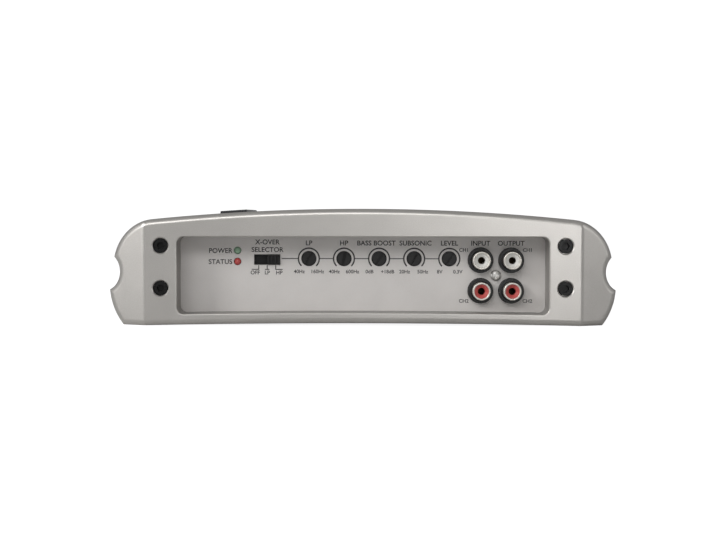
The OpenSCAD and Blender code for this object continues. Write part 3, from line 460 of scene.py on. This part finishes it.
def make_sockets():
    """Line sockets: bright shells with rolled lips round tapered plastic inserts."""
    pitch = 14 * MM
    shell_r = 4.1 * MM
    wall = 0.85 * MM
    lip = 0.38 * MM
    gap = 0.02 * MM
    back = -4 * MM
    front = 7.5 * MM
    face = front - 0.9 * MM
    rim = 0.5 * MM
    cup_depth = 0.7 * MM
    pin_r = 1.65 * MM
    pin_lip_w = 0.35 * MM
    pin_lip_depth = 0.3 * MM
    low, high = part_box("line_socket_shells")
    centre = (low + high) / 2
    rows = {"upper": ("upper_socket_inserts", "white_plastic", pitch / 2),
            "lower": ("lower_socket_inserts", "red_plastic", -pitch / 2)}
    shells = bmesh.new()
    for row, (node, look, rise) in rows.items():
        inserts = bmesh.new()
        for side in (-1, 1):
            place = Vector((centre.x + side * pitch / 2, PANEL_FACE, centre.z + rise))
            lathe(shells, place, ring_profile(shell_r, shell_r - wall, back, front, lip))
            insert_r = shell_r - wall - gap
            profile = [(pin_r, back), (insert_r, back), (insert_r, face), (insert_r - rim, face),
                       (pin_r + pin_lip_w, face - cup_depth),
                       (pin_r, face - cup_depth - pin_lip_depth)]
            lathe(inserts, place, profile)
        mesh = mesh_from(f"{row}_inserts", inserts)
        smooth(mesh, 25)
        mesh.materials.append(materials[look])
        add_object(f"{row}_inserts", mesh, CASE, (node,))
    mesh = mesh_from("socket_shells", shells)
    smooth(mesh, 40)
    mesh.materials.append(materials["socket_shell"])
    add_object("socket_shells", mesh, CASE, ("line_socket_shells",))


def middle_of(node):
    """The middle of a CAD node's box."""
    low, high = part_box(node)
    return (low + high) / 2


# Heights of the panel's titles, and of their letters and the smaller letters
TITLE_Z = 37.3 * MM
TITLE_H = 2.15 * MM
SMALL_H = 1.6 * MM
LINE_T = 0.4 * MM


def pot_legends(bm):
    """Each control's title, range and arc, and the line that joins the controls to the switch."""
    range_z = 24.2 * MM
    arc_outer = 5.1 * MM
    arc_inner = 4.45 * MM
    line_start = 6.6 * MM
    titles = ("LP", "HP", "BASS BOOST", "SUBSONIC", "LEVEL")
    ranges = (("40Hz", "160Hz"), ("40Hz", "600Hz"), ("0dB", "+18dB"), ("20Hz", "50Hz"), ("8V", "0.3V"))
    nudges = (0, 0, -1.3 * MM, 0.6 * MM, 0)
    spots = [middle_of(f"{pot}_pot_shaft") for pot in POTS]
    for pot, spot, title, ends, nudge in zip(POTS, spots, titles, ranges, nudges):
        lettering(f"{pot}_title", title, spot.x + nudge, TITLE_Z, TITLE_H)
        lettering(f"{pot}_low_mark", ends[0], spot.x - 4.4 * MM, range_z, SMALL_H)
        lettering(f"{pot}_high_mark", ends[1], spot.x + 3.9 * MM, range_z, SMALL_H)
        printed_arc(bm, spot.x, spot.z, arc_outer, arc_inner, math.radians(135))
    switch_x = middle_of("selector_switch_body").x
    starts = [switch_x + line_start] + [spot.x + arc_outer for spot in spots[:-1]]
    for start, spot in zip(starts, spots):
        bar(bm, start, spot.x - arc_outer, spot.z - LINE_T / 2, spot.z + LINE_T / 2)


def selector_legends(bm):
    """The switch's title, and under each of its three places a tick and a word."""
    tick_low = 25.3 * MM
    tick_high = 27 * MM
    tick_pitch = 3.9 * MM
    foot = 3.2 * MM
    short_foot = 1 * MM
    word_z = 23.7 * MM
    word_h = 1.7 * MM
    word_pitch = 5.5 * MM
    title_shift = 0.1 * MM
    switch_x = middle_of("selector_switch_body").x
    places = ((-1, "left", "OFF", -foot, LINE_T / 2),
              (0, "middle", "LP", -short_foot, short_foot),
              (1, "right", "HP", -LINE_T / 2, foot))
    for side, place, word, foot_start, foot_end in places:
        x = switch_x + side * tick_pitch
        bar(bm, x - LINE_T / 2, x + LINE_T / 2, tick_low, tick_high)
        bar(bm, x + foot_start, x + foot_end, tick_low - LINE_T, tick_low)
        lettering(f"selector_{place}_mark", word, switch_x + side * word_pitch, word_z, word_h)
    lettering("selector_title_upper", "X-OVER", switch_x + title_shift, 37.7 * MM, TITLE_H)
    lettering("selector_title_lower", "SELECTOR", switch_x + title_shift, 34.2 * MM, TITLE_H)


def lamp_legends():
    """A word that ends a little to the left of each lamp."""
    reach = 2.4 * MM
    below_top = 2 * MM
    for word, lamp in (("POWER", "power_lamp"), ("STATUS", "status_lamp")):
        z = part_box(lamp)[1].z - below_top
        lettering(f"{word}_label", word, middle_of(lamp).x - reach, z, TITLE_H, "RIGHT")


def socket_legends():
    """Titles over the two columns of sockets, and the channel's mark beside each socket."""
    inset = 4.4 * MM
    mark_reach = 7.6 * MM
    shell_low, shell_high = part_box("line_socket_shells")
    columns = (shell_low.x + inset, shell_high.x - inset)
    for word, x in zip(("INPUT", "OUTPUT"), columns):
        lettering(f"{word}_label", word, x, TITLE_Z, TITLE_H)
    for word, z in (("CH1", 34.2 * MM), ("CH2", 10.8 * MM)):
        for side, end, x in zip((-1, 1), ("in", "out"), columns):
            lettering(f"{word}_mark_{end}", word, x + side * mark_reach, z, SMALL_H)


def make_legends():
    bm = bmesh.new()
    pot_legends(bm)
    selector_legends(bm)
    lamp_legends()
    socket_legends()
    mesh = mesh_from("panel_lines", bm)
    mesh.materials.append(materials["print"])
    add_object("panel_lines", mesh)


# ---- Materials ----

def new_material(name):
    """A material, its nodes and its links."""
    material = bpy.data.materials.new(name)
    material.use_nodes = True
    return material, material.node_tree.nodes, material.node_tree.links


def noise(tree_nodes, links, scale, detail=3.0, stretch=(1, 1, 1)):
    """Noise in the object's own coordinates, in features per metre, and its factor output."""
    place = tree_nodes.new("ShaderNodeTexCoord")
    mapping = tree_nodes.new("ShaderNodeMapping")
    mapping.inputs["Scale"].default_value = stretch
    texture = tree_nodes.new("ShaderNodeTexNoise")
    texture.inputs["Scale"].default_value = scale
    texture.inputs["Detail"].default_value = detail
    links.new(place.outputs["Object"], mapping.inputs["Vector"])
    links.new(mapping.outputs["Vector"], texture.inputs["Vector"])
    return texture.outputs["Fac"]


def spread(tree_nodes, links, source, low, high):
    """Maps the middle of a noise onto a range."""
    mapped = tree_nodes.new("ShaderNodeMapRange")
    mapped.inputs["From Min"].default_value = 0.3
    mapped.inputs["From Max"].default_value = 0.7
    mapped.inputs["To Min"].default_value = low
    mapped.inputs["To Max"].default_value = high
    links.new(source, mapped.inputs["Value"])
    return mapped.outputs["Result"]


def finish_material(name, colour, metallic=0.0, roughness=0.5, rough_spread=0.08, shade_spread=0.08,
                    grain=900, bump=0.1, bump_grain=2500, stretch=(1, 1, 1), coat=0.0, specular=0.5,
                    transmission=0.0):
    """A surface whose shade, gloss and height all vary a little, at scales given per metre."""
    material, tree_nodes, links = new_material(name)
    shader = tree_nodes["Principled BSDF"]
    shader.inputs["Metallic"].default_value = metallic
    shader.inputs["Specular IOR Level"].default_value = specular
    shader.inputs["Coat Weight"].default_value = coat
    shader.inputs["Coat Roughness"].default_value = 0.12
    shader.inputs["Transmission Weight"].default_value = transmission
    grain_noise = noise(tree_nodes, links, grain, 4, stretch)
    shades = tree_nodes.new("ShaderNodeMix")
    shades.data_type = "RGBA"
    shades.inputs["A"].default_value = (*[c * (1 - shade_spread) for c in colour], 1)
    shades.inputs["B"].default_value = (*[min(c * (1 + shade_spread), 1) for c in colour], 1)
    links.new(spread(tree_nodes, links, grain_noise, 0, 1), shades.inputs["Factor"])
    links.new(shades.outputs["Result"], shader.inputs["Base Color"])
    rough_noise = noise(tree_nodes, links, grain / 3, 3, stretch)
    links.new(spread(tree_nodes, links, rough_noise, roughness - rough_spread, roughness + rough_spread),
              shader.inputs["Roughness"])
    relief = tree_nodes.new("ShaderNodeBump")
    relief.inputs["Strength"].default_value = bump
    relief.inputs["Distance"].default_value = 0.05 * MM
    links.new(noise(tree_nodes, links, bump_grain, 2, stretch), relief.inputs["Height"])
    links.new(relief.outputs["Normal"], shader.inputs["Normal"])
    return material


def silver_finish(name, colour, roughness, metallic):
    """Metallic silver paint: fine aluminium flakes over a smooth coat, and faint clouding."""
    material, tree_nodes, links = new_material(name)
    shader = tree_nodes["Principled BSDF"]
    shader.inputs["Metallic"].default_value = metallic
    shader.inputs["Coat Weight"].default_value = 0.12
    shader.inputs["Coat Roughness"].default_value = 0.25
    cloud = noise(tree_nodes, links, 60, 4)
    flake = noise(tree_nodes, links, 2600, 2)
    clouds = tree_nodes.new("ShaderNodeMix")
    clouds.data_type = "RGBA"
    clouds.inputs["A"].default_value = (*[c * 0.97 for c in colour], 1)
    clouds.inputs["B"].default_value = (*[c * 1.03 for c in colour], 1)
    links.new(spread(tree_nodes, links, cloud, 0, 1), clouds.inputs["Factor"])
    flakes = tree_nodes.new("ShaderNodeMix")
    flakes.data_type = "RGBA"
    flakes.blend_type = "OVERLAY"
    flakes.inputs["Factor"].default_value = 0.3
    links.new(clouds.outputs["Result"], flakes.inputs["A"])
    links.new(spread(tree_nodes, links, flake, 0.3, 0.7), flakes.inputs["B"])
    links.new(flakes.outputs["Result"], shader.inputs["Base Color"])
    links.new(spread(tree_nodes, links, flake, roughness - 0.06, roughness + 0.06),
              shader.inputs["Roughness"])
    relief = tree_nodes.new("ShaderNodeBump")
    relief.inputs["Strength"].default_value = 0.1
    relief.inputs["Distance"].default_value = 0.04 * MM
    links.new(flake, relief.inputs["Height"])
    links.new(relief.outputs["Normal"], shader.inputs["Normal"])
    return material


def make_materials():
    """One material for each slot of the record, and three that only the looks have."""
    return {
        "silver_paint": silver_finish("silver_paint", (0.72, 0.695, 0.66), 0.34, 0.82),
        "panel_paint": silver_finish("panel_paint", (0.93, 0.895, 0.865), 0.55, 0.0),
        # A darker paint for the window's walls: painted shade standing for the shadow inside the recess.
        "window_wall_shade_paint": silver_finish("window_wall_shade_paint", (0.36, 0.345, 0.33), 0.5, 0.3),
        "print": finish_material("print", (0.045, 0.042, 0.042), roughness=0.6, bump=0.05),
        "black_steel": finish_material("black_steel", (0.018, 0.018, 0.02), roughness=0.5, bump=0.4,
                                       bump_grain=1800, specular=0.4),
        "black_screw": finish_material("black_screw", (0.012, 0.012, 0.012), roughness=0.3, specular=0.3),
        "plated_steel": finish_material("plated_steel", (0.78, 0.77, 0.74), metallic=0.9, roughness=0.42,
                                        grain=500),
        "badge": finish_material("badge", (0.03, 0.03, 0.035), roughness=0.22, coat=0.5),
        "circuit_board": finish_material("circuit_board", (0.012, 0.11, 0.035), roughness=0.35,
                                         grain=300, bump=0.3, bump_grain=900, coat=0.3),
        "black_plastic": finish_material("black_plastic", (0.014, 0.014, 0.015), roughness=0.42,
                                         bump=0.3, bump_grain=3500),
        "control_plastic": finish_material("control_plastic", (0.016, 0.0155, 0.015), roughness=0.42,
                                           bump=0.2, bump_grain=4000),
        "socket_shell": finish_material("socket_shell", (0.96, 0.92, 0.85), metallic=0.7, roughness=0.3,
                                        rough_spread=0.05, shade_spread=0.04, bump=0.04),
        "white_plastic": finish_material("white_plastic", (0.95, 0.94, 0.9), roughness=0.34,
                                         shade_spread=0.03),
        "red_plastic": finish_material("red_plastic", (0.68, 0.12, 0.11), roughness=0.38),
        "aged_brass": finish_material("aged_brass", (0.1, 0.07, 0.035), metallic=0.7, roughness=0.6),
        "brass_contact": finish_material("brass_contact", (0.7, 0.5, 0.2), metallic=1, roughness=0.25),
        "green_lamp": finish_material("green_lamp", (0.45, 0.74, 0.5), roughness=0.15, coat=0.8,
                                      transmission=0.15),
        "red_lamp": finish_material("red_lamp", (0.85, 0.12, 0.11), roughness=0.15, coat=0.8,
                                    transmission=0.1),
        "fuse_plastic": finish_material("fuse_plastic", (0.75, 0.25, 0.02), roughness=0.25, coat=0.3,
                                        transmission=0.15),
        "tinned_metal": finish_material("tinned_metal", (0.7, 0.7, 0.68), metallic=1, roughness=0.32),
        "ferrite": finish_material("ferrite", (0.08, 0.2, 0.13), roughness=0.45, bump=0.5,
                                   bump_grain=1200),
        "choke_core_coat": finish_material("choke_core_coat", (0.6, 0.5, 0.08), roughness=0.45, bump=0.5),
        "copper_wire": finish_material("copper_wire", (0.55, 0.2, 0.07), metallic=0.8, roughness=0.25,
                                       coat=0.6),
        "capacitor_sleeve": finish_material("capacitor_sleeve", (0.015, 0.03, 0.12), roughness=0.3,
                                            coat=0.3),
        "transistor_resin": finish_material("transistor_resin", (0.02, 0.02, 0.022), roughness=0.62,
                                            bump=0.5, bump_grain=5000),
        "pad_rubber": finish_material("pad_rubber", (0.5, 0.53, 0.55), roughness=0.7, bump=0.4),
        "bar_aluminium": finish_material("bar_aluminium", (0.6, 0.6, 0.62), metallic=1, roughness=0.35,
                                         grain=700, stretch=(1, 0.05, 1)),
    }


# Rounding of the edges of the CAD parts that show, in millimetres
EDGE_ROUNDING = {
    "base_plate": 0.3, "top_badge": 0.5, "control_panel": 0.12,
    "terminal_panel": 0.15, "end_cap_screws": 0.25, "line_socket_block": 0.4,
    "line_socket_screw": 0.15, "selector_switch_lever": 0.22, "selector_switch_body": 0.15,
    "power_terminal_block": 0.35, "speaker_terminal_block": 0.35, "power_terminal_clamps": 0.15,
    "speaker_terminal_clamps": 0.15, "power_terminal_screws": 0.2, "speaker_terminal_screws": 0.2,
    "power_terminal_plates": 0.1, "speaker_terminal_plates": 0.1, "fuse_holder": 0.35,
    "left_fuse_body": 0.35, "right_fuse_body": 0.35, "base_plate_screws": 0.1,
}
EDGE_ROUNDING.update({f"{pot}_pot_shaft": 0.25 for pot in POTS})


def dress_nodes():
    """Gives every CAD node its material, and rounds the edges of those that show."""
    for part in frame["record"]["subparts"]:
        obj = nodes[part["node"]]
        obj.data.materials.clear()
        look = "aged_brass" if part["node"] == "line_socket_contacts" else part["material_slot"]
        obj.data.materials.append(materials[look])
        if part["node"] in EDGE_ROUNDING:
            round_edges(obj, EDGE_ROUNDING[part["node"]] * MM)


# ---- Studio ----

# The camera stands where a viewer's eye would be, about 0.6 m in front of the case
CAMERA_PLACE = (-1.7 * MM, FRONT - 600 * MM, 49.6 * MM)
CAMERA_YAW = 0.0009
CAMERA_PITCH = -0.0391
CAMERA_ROLL = 0.0019
CAMERA_LENS = 67.35


def make_camera():
    data = bpy.data.cameras.new("camera")
    data.sensor_width = 36
    data.lens = CAMERA_LENS
    data.clip_start = 0.01
    camera = bpy.data.objects.new("camera", data)
    turn = Matrix.Rotation(CAMERA_YAW, 4, "Z") @ Matrix.Rotation(math.pi / 2 + CAMERA_PITCH, 4, "X")
    camera.matrix_world = Matrix.Translation(CAMERA_PLACE) @ turn @ Matrix.Rotation(CAMERA_ROLL, 4, "Z")
    bpy.context.scene.collection.objects.link(camera)
    bpy.context.scene.camera = camera


def white_paper():
    """Studio paper that shows white to the camera but lights the object no more than paper does."""
    material, tree_nodes, links = new_material("white_paper")
    shader = tree_nodes["Principled BSDF"]
    shader.inputs["Base Color"].default_value = (0.6, 0.6, 0.6, 1)
    shader.inputs["Roughness"].default_value = 0.9
    shader.inputs["Emission Color"].default_value = (1, 1, 1, 1)
    seen = tree_nodes.new("ShaderNodeLightPath")
    lift = tree_nodes.new("ShaderNodeMath")
    lift.operation = "MULTIPLY"
    lift.inputs[1].default_value = 0.9
    links.new(seen.outputs["Is Camera Ray"], lift.inputs[0])
    links.new(lift.outputs["Value"], shader.inputs["Emission Strength"])
    return material


def make_floor():
    """A white sweep: a floor that curves up into a wall well behind the object."""
    half = 3.0
    front = -3.0
    bend = 1.6
    bend_steps = 24
    radius = 0.8
    wall = 3.0
    profile = [(front, 0.0)]
    for i in range(bend_steps + 1):
        turn = math.radians(90) * i / bend_steps
        profile.append((bend + radius * math.sin(turn), radius * (1 - math.cos(turn))))
    profile.append((bend + radius, wall))
    bm = bmesh.new()
    rows = [[bm.verts.new((x, y, z)) for x in (-half, half)] for y, z in profile]
    for low, high in zip(rows, rows[1:]):
        bm.faces.new((low[0], low[1], high[1], high[0]))
    mesh = bpy.data.meshes.new("floor")
    bm.to_mesh(mesh)
    bm.free()
    mesh.shade_smooth()
    mesh.materials.append(white_paper())
    floor = bpy.data.objects.new("floor", mesh)
    bpy.context.scene.collection.objects.link(floor)


def soft_light(name, place, target, size, power, shine_only=False):
    """A rectangular lamp aimed at a target. With shine_only it shows in gloss but lights nothing."""
    data = bpy.data.lights.new(name, "AREA")
    data.shape = "RECTANGLE"
    data.size = size[0]
    data.size_y = size[1]
    data.energy = power
    light = bpy.data.objects.new(name, data)
    light.location = place
    aim = Vector(target) - Vector(place)
    light.rotation_euler = aim.to_track_quat("-Z", "Y").to_euler()
    light.visible_diffuse = not shine_only
    bpy.context.scene.collection.objects.link(light)


def make_lights():
    """Broad lamps to the left and above, and two that only shine in the paint on the right."""
    centre = (0, 0, CASE_H / 2)
    soft_light("key_left", (-1.4, -0.55, 0.6), centre, (1.0, 1.0), 6.5)
    soft_light("front_left", (-1.2, -0.95, 0.85), centre, (0.35, 0.35), 4)
    soft_light("high_front", (-0.25, -1.2, 0.7), centre, (1.0, 0.4), 3.3)
    soft_light("front_right", (0.33, -1.4, 0.0), centre, (0.3, 0.6), 2, shine_only=True)
    soft_light("side_right", (1.4, -0.35, 0.4), centre, (0.8, 0.8), 1.5, shine_only=True)
    world = bpy.data.worlds.new("studio")
    world.use_nodes = True
    world.node_tree.nodes["Background"].inputs["Color"].default_value = (1, 1, 1, 1)
    world.node_tree.nodes["Background"].inputs["Strength"].default_value = 0.25
    bpy.context.scene.world = world
    bpy.context.scene.view_settings.view_transform = "Standard"


materials = make_materials()
make_camera()
make_lights()
make_floor()
dress_nodes()
make_end_caps()
make_sockets()
make_legends()
